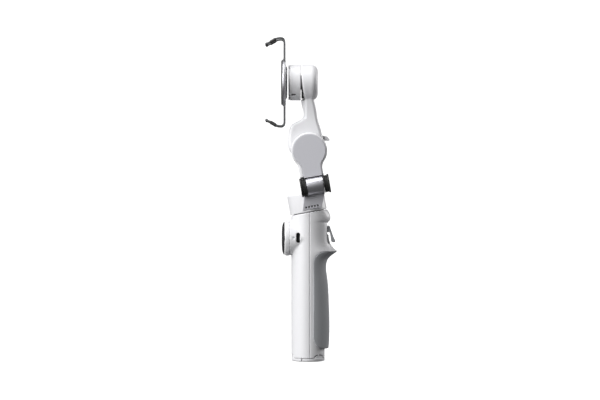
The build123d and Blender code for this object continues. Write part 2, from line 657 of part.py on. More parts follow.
def tripod_leg(angle, with_button):
    """A leg with its foot plate, a third of the handle's flat end; one foot also fills the middle."""
    leg = Pos(0, 0, FOOT_TOP) * extrude(leg_section(), amount=LEG_PIVOT_Z - FOOT_TOP)
    eye = Pos(LEG_PIVOT_R, 0, LEG_PIVOT_Z) * Rot(90, 0, 0) * disc(LEG_THICK / 2, -LEG_NARROW / 2, LEG_NARROW / 2)
    pin_hole = Pos(LEG_PIVOT_R, 0, LEG_PIVOT_Z) * Rot(90, 0, 0) * disc(0.86, -9, 9)
    leg = Rot(0, 0, angle) * (leg + eye - pin_hole)
    plate = extrude(Ellipse(HANDLE_RX, HANDLE_RY), amount=FOOT_TOP)
    plate = fillet(plate.edges().sort_by(Axis.Z)[0], 1.3)
    reach = 40.0
    half = math.radians(60)
    sector = extrude(make_face(Polyline(
        (0, 0), (reach * math.cos(half), -reach * math.sin(half)),
        (reach * math.cos(half), reach * math.sin(half)), close=True)), amount=10)
    sector = Rot(0, 0, angle) * Pos(FOOT_SPLIT, 0, -1) * sector
    lug = arch(NOTCH_HALF - 0.5, NOTCH_TOP - 0.7, 11.0, 20.0) & extrude(Ellipse(16.9, 16.9), amount=20)
    lug = (Rot(0, 0, angle) * lug) & extrude(Ellipse(HANDLE_RX - 0.3, HANDLE_RY - 0.3), amount=20)
    if with_button:
        sector = sector + disc(FOOT_BUTTON_R, -1, FOOT_TOP - 0.7)
    else:
        sector = sector - disc(FOOT_BUTTON_R + FOOT_SPLIT, -1, 10)
    return only(leg + (plate & sector) + lug)


def tripod_column():
    """The slider that carries the three legs, slotted so that they can swing out."""
    column = disc(COLUMN_R, COLUMN_Z0, COLUMN_Z1) - disc(COLUMN_R - 2.0, 56.0, COLUMN_Z1 + 1)
    for angle in LEG_ANGLES:
        half = LEG_WIDE / 2 + 0.3
        slot = box(1.0, 20, -half, half, COLUMN_Z0 - 1, LEG_PIVOT_Z + LEG_THICK / 2 + 0.4)
        column = column - Rot(0, 0, angle) * slot
        bore = Pos(LEG_PIVOT_R, 0, LEG_PIVOT_Z) * Rot(90, 0, 0) * disc(0.8, -7, 7)
        column = column - Rot(0, 0, angle) * bore
    return only(column)


def leg_pins():
    pins = []
    for angle in LEG_ANGLES:
        pins.append(Rot(0, 0, angle) * Pos(LEG_PIVOT_R, 0, LEG_PIVOT_Z) * Rot(90, 0, 0) * disc(0.8, -6.2, 6.2))
    return Compound(pins)


# ---------------------------------------------------------------- assembly

def motor_parts(name, place, magnet_r, z0, z1):
    """The wound core, its bearing and the magnets of one motor, as named parts."""
    core_r = magnet_r - 2.2
    return {
        name + "_stator": place(stator(core_r, z0, z1)),
        name + "_coils": place(coils(core_r, z0, z1)),
        name + "_bearing": place(bearing(z0 - 1.0, z1)),
        name + "_magnets": place(magnets(magnet_r - 0.02, z0, z1)),
    }


def all_parts():
    front_shell, rear_shell = handle_shells()
    parts = {
        "handle_front_shell": front_shell,
        "handle_rear_shell": rear_shell,
        "grip_sleeve": grip_sleeve(),
        "dial_bezel": dial_bezel(),
        "charging_socket": socket_shell(),
        "charge_light": charge_light(),
        "battery_cells": battery_cells(),
        "main_board": main_board(),
        "rod_sleeve": rod_sleeve(),
        "shell_screws": shell_screws(),
        "trigger_pin": trigger_pin(),
        "trigger_lever": trigger_lever(),
        "dial_ring": dial_ring(),
        "joystick_yoke": joystick_yoke(),
        "joystick_cap": joystick_cap(),
        "pan_base": pan_base(),
        "pan_drum": pan_drum(),
        "neck_bracket": neck_bracket(),
        "hinge_barrel": hinge_barrel(),
        "hinge_fork": hinge_fork(),
        "hinge_pin": hinge_pin(),
        "lower_arm_shell": lower_arm_shell(),
        "lower_arm_cover": lower_arm_cover(),
        "tilt_hub": tilt_hub(),
        "tilt_drum": tilt_drum(),
        "upper_arm_shell": upper_arm_shell(),
        "parking_tab": parking_tab(),
        "roll_rear_cap": roll_rear_cap(),
        "roll_drum": roll_drum(),
        "mount_plate": mount_plate(),
        "mount_magnets": mount_magnets(),
        "clamp_body": clamp_body(),
        "clamp_pad": clamp_pad(),
        "clamp_steel_ring": clamp_steel_ring(),
        "tripod_column": tripod_column(),
        "leg_pins": leg_pins(),
    }
    for n in range(len(ROD_RADII)):
        parts[f"rod_stage_{n + 1}"] = rod_stage(n)
    for n, angle in enumerate(LEG_ANGLES):
        parts[f"tripod_leg_{n + 1}"] = tripod_leg(angle, with_button=(n == 0))
    for name, side in (("upper", 1), ("lower", -1)):
        parts[name + "_jaw_wire"] = jaw_wire(side)
        parts[name + "_jaw_sleeve"] = jaw_sleeve(side)
    parts.update(motor_parts("pan", lambda s: HEAD * s, PAN_MAGNET_R, 4.0, 12.0))
    parts.update(motor_parts("tilt", on_tilt_axis, TILT_MAGNET_R, 2.6, 9.0))
    parts.update(motor_parts("roll", roll_along, ROLL_MAGNET_R, 1.6, 7.6))
    return parts


os.makedirs("parts", exist_ok=True)
for name, shape in all_parts().items():
    export_step(shape, f"parts/{name}.step")
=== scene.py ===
import json
import math

import bmesh
import bpy
from bpy.props import FloatProperty, FloatVectorProperty, IntProperty, PointerProperty
from mathutils import Matrix, Vector


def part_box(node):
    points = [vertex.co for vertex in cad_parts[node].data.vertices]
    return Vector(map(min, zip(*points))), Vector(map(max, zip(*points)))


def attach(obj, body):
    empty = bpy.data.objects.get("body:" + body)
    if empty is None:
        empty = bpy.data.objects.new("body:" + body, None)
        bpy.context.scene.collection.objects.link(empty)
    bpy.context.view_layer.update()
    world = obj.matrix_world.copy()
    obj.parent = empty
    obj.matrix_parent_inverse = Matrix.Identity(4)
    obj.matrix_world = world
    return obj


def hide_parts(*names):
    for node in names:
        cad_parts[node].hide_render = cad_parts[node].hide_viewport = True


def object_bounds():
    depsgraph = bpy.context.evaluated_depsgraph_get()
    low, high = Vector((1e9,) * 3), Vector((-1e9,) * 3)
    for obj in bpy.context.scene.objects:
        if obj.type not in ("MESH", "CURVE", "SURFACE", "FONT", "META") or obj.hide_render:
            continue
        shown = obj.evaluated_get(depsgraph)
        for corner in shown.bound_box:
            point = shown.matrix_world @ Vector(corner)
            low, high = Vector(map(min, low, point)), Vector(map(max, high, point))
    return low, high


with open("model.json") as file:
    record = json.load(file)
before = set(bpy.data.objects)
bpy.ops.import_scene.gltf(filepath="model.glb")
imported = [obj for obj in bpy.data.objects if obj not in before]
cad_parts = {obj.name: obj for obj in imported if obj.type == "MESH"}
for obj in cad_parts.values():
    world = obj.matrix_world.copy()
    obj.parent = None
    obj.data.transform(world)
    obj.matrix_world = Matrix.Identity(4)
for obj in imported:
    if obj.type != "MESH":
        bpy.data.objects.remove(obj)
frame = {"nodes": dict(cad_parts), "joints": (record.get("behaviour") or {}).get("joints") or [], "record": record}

bl_info = {
    "name": "Phone Gimbal Looks",
    "version": (1, 0, 0),
    "blender": (4, 5, 0),
    "location": "3D View > Sidebar > Gimbal",
    "description": "Builds the visible pieces, finishes and studio of a folding phone gimbal",
    "category": "Object",
}

MM = 0.001
FLOW_ROUNDS = 90        # smoothing rounds where a moulding's creases flow together
NODES, RECORD = frame["nodes"], frame["record"]
JOINTS = {joint["name"]: joint for joint in frame["joints"]}
AT_LOAD = [list(corner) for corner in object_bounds()]


# ---------------------------------------------------------------- places taken from the frame

def axis_frame(joint_name, side=(0, 0, 1)):
    """A frame whose Z runs along a joint's axis and whose X lies towards side."""
    joint = JOINTS[joint_name]
    z = Vector(joint["axis"]).normalized()
    x = (Vector(side) - z * Vector(side).dot(z)).normalized()
    turn = Matrix((x, z.cross(x), z)).transposed().to_4x4()
    return Matrix.Translation(joint.get("pos_m", (0, 0, 0))) @ turn


def along(node, place):
    """Lowest and highest z of a CAD node in a frame, in millimetres."""
    back = place.inverted()
    heights = [(back @ v.co).z / MM for v in NODES[node].data.vertices]
    return min(heights), max(heights)


def radius_of(node, place):
    """Largest distance of a CAD node from a frame's axis, in millimetres."""
    back = place.inverted()
    return max((back @ v.co).xy.length for v in NODES[node].data.vertices) / MM


# ---------------------------------------------------------------- mesh makers

def mesh_object(name, bm):
    bmesh.ops.recalc_face_normals(bm, faces=bm.faces)
    mesh = bpy.data.meshes.new(name)
    bm.to_mesh(mesh)
    bm.free()
    mesh.shade_smooth()
    obj = bpy.data.objects.new(name, mesh)
    bpy.context.scene.collection.objects.link(obj)
    return obj


def softened(points, radius, steps=4, closed=False):
    """The same outline with each corner replaced by a small arc."""
    out = []
    count = len(points)
    for n, corner in enumerate(points):
        here = Vector(corner)
        if not closed and n in (0, count - 1):
            out.append(here)
            continue
        before, after = Vector(points[n - 1]) - here, Vector(points[(n + 1) % count]) - here
        cut = min(radius, before.length * 0.45, after.length * 0.45)
        start, end = here + before.normalized() * cut, here + after.normalized() * cut
        for k in range(steps + 1):
            t = k / steps
            out.append(start * (1 - t) ** 2 + here * 2 * t * (1 - t) + end * t * t)
    return out


def add_rings(bm, rings, closed=False):
    """Skins a list of rings of points; a ring of one point is a pole. A closed skin runs from its last ring
    back to its first, and an open one gets both ends filled."""
    loops = [[bm.verts.new(p) for p in ring] for ring in rings]
    for low, high in zip(loops, loops[1:] + (loops[:1] if closed else [])):
        count = max(len(low), len(high))
        for n in range(count):
            m = (n + 1) % count
            corners = [low[n % len(low)], low[m % len(low)], high[m % len(high)], high[n % len(high)]]
            face = [c for k, c in enumerate(corners) if c not in corners[:k]]
            bm.faces.new(face)
    for loop in () if closed else (loops[0], loops[-1]):
        if len(loop) > 2:
            bm.faces.new(loop)


def lathe(name, profile, place, corner=0.25, segments=96, closed=False):
    """Turns a profile of (radius, z) millimetres about a frame's Z axis; a closed profile makes a ring."""
    outline = softened(profile, corner, closed=closed)
    rings = []
    for radius, z in outline:
        count = 1 if radius < 1e-4 else segments
        turns = [2 * math.pi * n / count for n in range(count)]
        rings.append([place @ (Vector((radius * math.cos(a), radius * math.sin(a), z)) * MM) for a in turns])
    bm = bmesh.new()
    add_rings(bm, rings, closed)
    return mesh_object(name, bm)


def smooth_path(points, rounds=3):
    """A path through points, with its inner corners cut again and again until it is smooth."""
    path = [Vector(p) for p in points]
    for _ in range(rounds):
        cut = [path[0]]
        for a, b in zip(path, path[1:]):
            cut += [a.lerp(b, 0.25), a.lerp(b, 0.75)]
        path = cut + [path[-1]]
    return path


def tube(name, path, radius, sides=20, tip=0.5):
    """A round wire along a path of millimetre points, with domed ends."""
    rings = []
    normal = (path[1] - path[0]).orthogonal().normalized()
    last = len(path) - 1
    for n, here in enumerate(path):
        run = (path[min(n + 1, last)] - path[max(n - 1, 0)]).normalized()
        normal = (normal - run * normal.dot(run)).normalized()
        other = run.cross(normal)
        ring = [here + (normal * math.cos(a) + other * math.sin(a)) * radius
                for a in (2 * math.pi * k / sides for k in range(sides))]
        if n in (0, last):
            out = -run if n == 0 else run
            dome = [[here + (p - here) * s + out * radius * tip * d for p in ring] for s, d in
                    ((0.4, 1.0), (0.8, 0.7))]
            rings += dome + [ring] if n == 0 else [ring] + dome[::-1]
        else:
            rings.append(ring)
    bm = bmesh.new()
    add_rings(bm, [[p * MM for p in ring] for ring in rings])
    return mesh_object(name, bm)


def evaluated(obj, name):
    """Turns an object and its modifiers into a plain mesh object, and removes the first."""
    mesh = bpy.data.meshes.new_from_object(obj.evaluated_get(bpy.context.evaluated_depsgraph_get()))
    mesh.name = name
    bpy.data.objects.remove(obj)
    plain = bpy.data.objects.new(name, mesh)
    bpy.context.scene.collection.objects.link(plain)
    return plain


def moulded(name, sources, voxel, rounds=8, blend=None):
    """A moulded piece over CAD nodes: their solids joined, with every edge rounded as a mould rounds it.
    blend gives each point in millimetres a weight, 0 to 1, of how far its creases flow together."""
    bm = bmesh.new()
    for node in sources:
        bm.from_mesh(NODES[node].data)
    bmesh.ops.remove_doubles(bm, verts=bm.verts, dist=1e-6)
    obj = mesh_object(name + "_raw", bm)
    remesh = obj.modifiers.new("remesh", "REMESH")
    remesh.mode = "VOXEL"
    remesh.voxel_size = voxel * MM * 1
    remesh.use_smooth_shade = True
    smooth = obj.modifiers.new("smooth", "SMOOTH")
    smooth.factor, smooth.iterations = 0.5, rounds
    obj = evaluated(obj, name)
    if blend:
        group = obj.vertex_groups.new(name="blend")
        for vertex in obj.data.vertices:
            weight = blend(vertex.co / MM)
            if weight > 0:
                group.add([vertex.index], weight, "REPLACE")
        flow = obj.modifiers.new("flow", "SMOOTH")
        flow.factor, flow.iterations, flow.vertex_group = 0.5, FLOW_ROUNDS, "blend"
        obj = evaluated(obj, name)
    obj.data.shade_smooth()
    return obj


def joined(name, objects):
    """One object from several."""
    bm = bmesh.new()
    for obj in objects:
        bm.from_mesh(obj.data)
        bpy.data.objects.remove(obj)
    return mesh_object(name, bm)


def array_tree(kind):
    """A node tree that repeats one part round a ring or along a row."""
    tree = bpy.data.node_groups.new(kind + "_array", "GeometryNodeTree")
    face = tree.interface
    face.new_socket("Geometry", in_out="OUTPUT", socket_type="NodeSocketGeometry")
    face.new_socket("Geometry", in_out="INPUT", socket_type="NodeSocketGeometry")
    for label, socket in (("Count", "Int"), ("Size", "Float"), ("Part", "Object"), ("Finish", "Material")):
        face.new_socket(label, in_out="INPUT", socket_type="NodeSocket" + socket)

    def node(kind_of_node, inputs=None, **settings):
        made = tree.nodes.new(kind_of_node)
        for key, value in settings.items():
            setattr(made, key, value)
        for key, value in (inputs or {}).items():
            if isinstance(value, bpy.types.NodeSocket):
                tree.links.new(value, made.inputs[key])
            else:
                made.inputs[key].default_value = value
        return made

    given = node("NodeGroupInput").outputs
    part = node("GeometryNodeObjectInfo", {"Object": given["Part"]}).outputs["Geometry"]
    index = node("GeometryNodeInputIndex").outputs[0]
    share = node("ShaderNodeMath", {0: index, 1: given["Count"]}, operation="DIVIDE").outputs[0]
    if kind == "ring":
        line = node("GeometryNodeMeshCircle", {"Vertices": given["Count"], "Radius": given["Size"]})
        angle = node("ShaderNodeMath", {0: share, 1: 2 * math.pi}, operation="MULTIPLY").outputs[0]
        turn = node("ShaderNodeCombineXYZ", {"Z": angle}).outputs[0]
    else:
        offset = node("ShaderNodeCombineXYZ", {"X": given["Size"]}).outputs[0]
        line = node("GeometryNodeMeshLine", {"Count": given["Count"], "Offset": offset})
        turn = node("ShaderNodeCombineXYZ").outputs[0]
    spread = node("GeometryNodeInstanceOnPoints", {"Points": line.outputs["Mesh"], "Instance": part,
                                                   "Rotation": turn}).outputs["Instances"]
    solid = node("GeometryNodeRealizeInstances", {"Geometry": spread}).outputs[0]
    painted = node("GeometryNodeSetMaterial", {"Geometry": solid, "Material": given["Finish"]}).outputs[0]
    node("NodeGroupOutput", {"Geometry": painted})
    return tree


def array_of(name, kind, part, count, size, finish, place):
    """Repeats a part through the array tree and returns the plain mesh in its place."""
    tree = bpy.data.node_groups.get(kind + "_array") or array_tree(kind)
    holder = bpy.data.objects.new(name + "_holder", bpy.data.meshes.new(name + "_holder"))
    bpy.context.scene.collection.objects.link(holder)
    modifier = holder.modifiers.new("array", "NODES")
    modifier.node_group = tree
    ids = {item.name: item.identifier for item in tree.interface.items_tree if item.in_out == "INPUT"}
    for label, value in (("Count", count), ("Size", size * MM), ("Part", part), ("Finish", finish)):
        modifier[ids[label]] = value
    obj = evaluated(holder, name)
    bpy.data.objects.remove(part)
    obj.data.transform(place)
    obj.data.shade_flat()
    return obj


def block(name, size, place=None, bevel=0.1):
    """A small bevelled block of given millimetre sizes, used as the part of an array."""
    bm = bmesh.new()
    bmesh.ops.create_cube(bm, size=1.0)
    bmesh.ops.scale(bm, vec=Vector(size) * MM, verts=bm.verts)
    bmesh.ops.bevel(bm, geom=bm.edges, offset=bevel * MM, segments=1, affect="EDGES")
    if place:
        bmesh.ops.transform(bm, matrix=place, verts=bm.verts)
    return mesh_object(name, bm)


def ease(value, start, end):
    """0 at start, 1 at end, smooth in between."""
    t = min(1.0, max(0.0, (value - start) / (end - start)))
    return t * t * (3 - 2 * t)


def placed(obj, body, finish, replaces=()):
    """Gives a finished piece its body, slot and material."""
    obj.data.materials.clear()
    obj.data.materials.append(finish)
    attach(obj, body)
    if replaces:
        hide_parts(*replaces)
    return obj


# ---------------------------------------------------------------- finishes

class Signal:
    """A shader socket with arithmetic, so that a formula reads as one."""

    def __init__(self, socket):
        self.socket, self.tree = socket, socket.id_data

    def node(self, kind, inputs=None, out=0, **settings):
        made = self.tree.nodes.new(kind)
        for key, value in settings.items():
            setattr(made, key, value)
        for key, value in (inputs or {}).items():
            if isinstance(value, Signal):
                self.tree.links.new(value.socket, made.inputs[key])
            else:
                made.inputs[key].default_value = value
        return Signal(made.outputs[out])

    def _maths(self, operation, *values):
        return self.node("ShaderNodeMath", dict(enumerate(values)), operation=operation)

    def __add__(self, other):
        return self._maths("ADD", self, other)

    def __radd__(self, other):
        return self._maths("ADD", other, self)

    def __mul__(self, other):
        return self._maths("MULTIPLY", self, other)

    def __rmul__(self, other):
        return self._maths("MULTIPLY", other, self)

    def ramp(self, low, high, start=0.0, end=1.0):
        """Maps start..end to low..high, and holds it there outside."""
        return self.node("ShaderNodeMapRange", {0: self, 1: low, 2: high, 3: start, 4: end})

    def noise(self, scale, detail=3.0, stretch=(1, 1, 1)):
        """Noise at a scale per metre; stretch draws it out along the axes with small values."""
        shaped = self.node("ShaderNodeMapping", {"Vector": self, "Scale": stretch})
        return self.node("ShaderNodeTexNoise", {"Vector": shaped, "Scale": scale, "Detail": detail})

    def cells(self, scale):
        return self.node("ShaderNodeTexVoronoi", {"Vector": self, "Scale": scale})

    def mixed(self, first, second):
        """A colour between two, picked by this value."""
        return self.node("ShaderNodeMix", {0: self, 6: (*first, 1), 7: (*second, 1)}, out=2, data_type="RGBA")


def finish(name, colours, roughness, bump, pattern, tint=0.5, metallic=0.0, coat=0.0, emission=0.0,
           specular=0.5):
    """A procedural finish. The pattern returns its relief and its mottle for object coordinates;
    colours are the two ends of the mottle, roughness its range and bump the relief's depth in millimetres."""
    existing = bpy.data.materials.get(name)
    if existing:
        return existing
    made = bpy.data.materials.new(name)
    made.use_nodes = True
    tree = made.node_tree
    shader = next(n for n in tree.nodes if n.type == "BSDF_PRINCIPLED")
    coords = Signal(tree.nodes.new("ShaderNodeTexCoord").outputs["Object"])
    relief, mottle = pattern(coords)
    cloud = coords.noise(55, 4)
    colour = (mottle * (1 - tint) + cloud * tint).ramp(0.3, 0.7).mixed(*colours)
    rough = (relief * 0.4 + cloud * 0.6).ramp(0.3, 0.7, *roughness)
    normal = relief.node("ShaderNodeBump", {"Height": relief, "Strength": 1.0, "Distance": bump * MM})
    for key, value in (("Base Color", colour), ("Roughness", rough), ("Normal", normal)):
        tree.links.new(value.socket, shader.inputs[key])
    shader.inputs["Metallic"].default_value = metallic
    shader.inputs["Specular IOR Level"].default_value = specular
    shader.inputs["Coat Weight"].default_value = coat
    shader.inputs["Coat Roughness"].default_value = 0.12
    if emission:
        shader.inputs["Emission Color"].default_value = (*colours[1], 1)
        shader.inputs["Emission Strength"].default_value = emission
    made.diffuse_color = (*colours[0], 1)
    return made


def spark(size):
    """The fine spark-eroded texture of a moulded surface, with a grain of so many millimetres."""
    def pattern(coords):
        grain = coords.noise(1 / (size * MM), 2)
        return grain * 0.7 + coords.noise(2.6 / (size * MM), 1) * 0.3, grain
    return pattern


def pebble(size):
    """The soft pebbled grain of a rubber grip."""
    def pattern(coords):
        grain = coords.cells(1 / (size * MM))
        return grain * -0.8 + coords.noise(2 / (size * MM), 2) * 0.5 + 0.6, coords.noise(0.3 / (size * MM), 3)
    return pattern


def brushed(stretch, size=0.12):
    """Fine lines of a brushed or turned surface, drawn out along the axes with small values."""
    def pattern(coords):
        lines = coords.noise(1 / (size * MM), 2, stretch)
        return lines, coords.noise(0.25 / (size * MM), 3, stretch)
    return pattern


def wound(size, direction="Z"):
    """Turns of enamelled wire or a stack of laminations."""
    def pattern(coords):
        settings = {"Vector": coords, "Scale": 0.16 / (size * MM), "Distortion": 0.3}
        turns = coords.node("ShaderNodeTexWave", settings, out=1, bands_direction=direction)
        return turns, coords.noise(900, 2)
    return pattern


def tracks(coords):
    """The copper tracks of a circuit board under its lacquer."""
    flat = coords.node("ShaderNodeMapping", {"Vector": coords, "Rotation": (math.pi / 2, 0, math.pi / 2)})
    lines = coords.node("ShaderNodeTexBrick", {"Vector": flat, "Scale": 420.0, "Mortar Size": 0.03}, out=1)
    return lines, lines


def gloss(coords):
    """A clear glossy moulding with a trace of dust."""
    dust = coords.noise(2600, 1).ramp(0.66, 0.74)
    return coords.noise(160, 2), dust


class GimbalLooks(bpy.types.PropertyGroup):
    """The colours and the fineness of the gimbal's own pieces."""
    white: FloatVectorProperty(
        name="White", description="Colour of the moulded white shells", subtype="COLOR",
        default=(0.82, 0.82, 0.84), min=0, max=1)
    cool_grey: FloatVectorProperty(
        name="Cool grey", description="Colour of the cover plates", subtype="COLOR",
        default=(0.70, 0.695, 0.74), min=0, max=1)
    grip: FloatVectorProperty(
        name="Grip", description="Colour of the rubber grip", subtype="COLOR",
        default=(0.42, 0.43, 0.45), min=0, max=1)
    black: FloatVectorProperty(
        name="Black", description="Colour of the dial and the knurled discs", subtype="COLOR",
        default=(0.012, 0.012, 0.014), min=0, max=1)
    grain: FloatProperty(
        name="Grain", description="Grain of the moulded shells in millimetres", default=0.35, min=0.05,
        max=2.0)
    voxel: FloatProperty(
        name="Detail", description="Fineness of the moulded pieces in millimetres", default=0.42, min=0.2,
        max=2.0)
    knurls: IntProperty(
        name="Knurls", description="Ribs round each knurled disc", default=44, min=12, max=96)


class GimbalStudio(bpy.types.PropertyGroup):
    """Where the camera stands and how bright the lights are."""
    distance: FloatProperty(
        name="Camera distance", description="From the object to the camera", default=1.8, unit="LENGTH")
    view_width: FloatProperty(
        name="View width", description="Width of the view at the object", default=0.552, unit="LENGTH")
    aim: FloatVectorProperty(
        name="Aim", description="What the camera looks at, from the middle of the object's foot",
        default=(-0.00736, 0.0, 0.1477), subtype="TRANSLATION", unit="LENGTH")
    key: FloatProperty(
        name="Key light", description="Power of the large light on the left", default=49.0, subtype="POWER")
    fill: FloatProperty(
        name="Room light", description="Strength of the white surroundings", default=0.10, min=0)


def looks():
    return bpy.context.scene.gimbal_looks


def shade(colour, factor):
    """The same colour, lighter or darker."""
    return tuple(min(1.0, c * factor) for c in colour)


def finishes():
    """Every finish of the object, by its name, which is the record's slot name except for spring_wire."""
    p = looks()
    white, grey, grip, black = (tuple(c) for c in (p.white, p.cool_grey, p.grip, p.black))
    made = (
        finish("white_shell", (shade(white, 0.985), shade(white, 1.01)), (0.30, 0.42), 0.006, spark(p.grain),
               coat=0.15),
        finish("cool_grey_plastic", (shade(grey, 0.97), shade(grey, 1.03)), (0.42, 0.55), 0.012, spark(0.28)),
        # The feet take the shells' white a little darker (0.86 to 0.92 of it). This is partly their own white and
        # partly painted shade, standing in for the shade in the notch under each arch.
        finish("foot_plastic", (shade(white, 0.86), shade(white, 0.92)), (0.45, 0.6), 0.02, spark(0.4)),
        finish("grip_rubber", (shade(grip, 0.92), shade(grip, 1.08)), (0.55, 0.72), 0.06, pebble(0.55)),
        finish("black_plastic", (black, shade(black, 3.0)), (0.2, 0.3), 0.002, gloss, specular=0.1),
        finish("soft_black", (shade(black, 2.0), shade(black, 3.4)), (0.6, 0.8), 0.03, pebble(0.3)),
        finish("black_metal", (shade(black, 0.2), shade(black, 0.6)), (0.45, 0.6), 0.008,
               brushed((1, 1, 0.08)), specular=0.05),
        finish("satin_chrome", ((0.66, 0.66, 0.70), (0.78, 0.78, 0.82)), (0.16, 0.30), 0.004,
               brushed((0.04, 1, 1)), metallic=1.0),
        finish("steel", ((0.13, 0.135, 0.14), (0.20, 0.205, 0.21)), (0.34, 0.46), 0.004,
               brushed((1, 1, 0.05)), metallic=0.9),
        finish("spring_wire", ((0.12, 0.123, 0.127), (0.18, 0.183, 0.188)), (0.4, 0.5), 0.004,
               brushed((1, 1, 0.05)), metallic=0.4, specular=0.3),
        finish("aluminium", ((0.62, 0.62, 0.65), (0.74, 0.74, 0.77)), (0.30, 0.42), 0.006,
               brushed((1, 0.05, 1)), metallic=1.0),
        finish("iron_core", ((0.12, 0.12, 0.13), (0.24, 0.24, 0.25)), (0.35, 0.5), 0.05, wound(0.35),
               metallic=0.8),
        finish("copper", ((0.52, 0.17, 0.05), (0.78, 0.32, 0.12)), (0.2, 0.34), 0.12, wound(0.3),
               metallic=0.9),
        finish("nickel_magnet", ((0.50, 0.49, 0.46), (0.62, 0.61, 0.58)), (0.18, 0.34), 0.004, spark(0.5),
               metallic=1.0),
        finish("battery_wrap", ((0.05, 0.09, 0.15), (0.08, 0.13, 0.2)), (0.3, 0.45), 0.03, spark(3.0)),
        finish("board", ((0.008, 0.07, 0.03), (0.04, 0.22, 0.09)), (0.25, 0.4), 0.03, tracks, tint=0.1),
        finish("light", ((0.7, 0.78, 0.84), (0.85, 0.92, 0.95)), (0.2, 0.3), 0.004, spark(0.3), emission=0.3),
    )
    return {material.name: material for material in made}


class GIMBAL_OT_frame_finishes(bpy.types.Operator):
    """Gives every CAD node its finish, a fine edge and smooth shading"""
    bl_idname = "gimbal.frame_finishes"
    bl_label = "Frame finishes"

    def execute(self, context):
        made = finishes()
        slots = {part["node"]: part["material_slot"] for part in RECORD["subparts"]}
        for name, obj in NODES.items():
            obj.data.materials.clear()
            obj.data.materials.append(made[slots[name]])
            bevel = obj.modifiers.new("edge", "BEVEL")
            bevel.width, bevel.segments, bevel.limit_method = 0.12 * MM, 2, "ANGLE"
            bevel.angle_limit = math.radians(35)
            bevel.harden_normals = True
        return {"FINISHED"}


class GIMBAL_OT_handle(bpy.types.Operator):
    """The two moulded handle shells and the rubber grip over them"""
    bl_idname = "gimbal.handle"
    bl_label = "Handle"

    def execute(self, context):
        made, voxel = finishes(), looks().voxel
        placed(moulded("handle_front_moulding", ["handle_front_shell"], voxel, 5, self.boss()), "handle",
               made["white_shell"], ["handle_front_shell"])
        placed(moulded("handle_rear_moulding", ["handle_rear_shell"], voxel, 5), "handle",
               made["white_shell"], ["handle_rear_shell"])
        placed(moulded("grip_moulding", ["grip_sleeve"], voxel, rounds=10), "handle",
               made["grip_rubber"], ["grip_sleeve"])
        return {"FINISHED"}

    def boss(self):
        """How far the dial's boss flows into the front shell, as a weight for each point: none at its flat
        front face, at the seam with the rear shell and round the charging socket in its near side."""
        middle = JOINTS["dial_turn"]["pos_m"][2] / MM
        low, high = (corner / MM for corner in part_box("charging_socket"))
        slot = (low + high) / 2

        def weight(p):
            inside = ease(p.x, -15.8, -13.5) * ease(p.x, 0.6, -1.4) * ease(abs(p.z - middle), 22, 17)
            from_slot = math.hypot((p.x - slot.x) * 1.8, p.z - slot.z)
            return inside * (ease(from_slot, 6.5, 9.5) if p.y < 0 else 1)
        return weight


class GIMBAL_OT_trigger(bpy.types.Operator):
    """The curved blade of the trigger"""
    bl_idname = "gimbal.trigger"
    bl_label = "Trigger"

    def execute(self, context):
        placed(moulded("trigger_blade", ["trigger_lever"], 0.22, rounds=6), "trigger",
               finishes()["grip_rubber"], ["trigger_lever"])
        return {"FINISHED"}


class GIMBAL_OT_dial(bpy.types.Operator):
    """The dial's bezel, its gloss ring with fine serrations, and the thumb cap"""
    bl_idname = "gimbal.dial"
    bl_label = "Dial"

    def execute(self, context):
        made = finishes()
        place = axis_frame("dial_turn")
        low, high = along("dial_bezel", place)
        outer = radius_of("dial_bezel", place)
        bezel = lathe("dial_collar", [
            (outer - 2.7, low), (outer - 0.1, low), (outer, low + 0.25), (outer, high - 0.9),
            (outer - 0.5, high - 0.15), (outer - 1.1, high), (outer - 2.6, high), (outer - 2.7, high - 0.3)],
            place, 0.18, 128, closed=True)
        placed(bezel, "handle", made["white_shell"], ["dial_bezel"])

        face_high = along("dial_ring", place)[1]
        rim, bore = radius_of("dial_ring", place), 9.2
        ring = lathe("dial_face", [
            (bore, high + 0.4), (rim - 0.3, high + 0.4), (rim, high + 0.7), (rim - 0.4, high + 1.2),
            (rim - 2.0, face_high - 0.65), (rim - 4.4, face_high - 0.1), (10.3, face_high),
            (bore + 0.2, face_high - 0.1), (bore, face_high - 0.5)], place, 0.22, 128, closed=True)
        tooth = block("tooth", (0.35, 0.3, 0.55), bevel=0.08)
        teeth = array_of("dial_teeth", "ring", tooth, 96, rim - 0.1, made["black_plastic"],
                         place @ Matrix.Translation((0, 0, (high + 0.72) * MM)))
        placed(joined("dial_wheel", [ring, teeth]), "dial", made["black_plastic"],
               ["dial_ring"])

        low, high = along("joystick_cap", place)
        cap = lathe("thumb_cap", [
            (0, low), (2.0, low), (2.0, high - 1.8), (6.8, high - 1.8), (7.9, high - 1.4), (8.0, high - 0.7),
            (7.4, high - 0.05), (6.2, high), (5.2, high - 0.35), (3.0, high - 0.62), (0, high - 0.7)],
            place, 0.3, 96)
        nub = block("nub", (0.7, 0.7, 0.5), bevel=0.2)
        nubs = array_of("cap_nubs", "ring", nub, 12, 3.9, made["black_plastic"],
                        place @ Matrix.Translation((0, 0, (high - 0.5) * MM)))
        placed(joined("thumb_stick", [cap, nubs]), "joystick", made["black_plastic"],
               ["joystick_cap"])
        return {"FINISHED"}


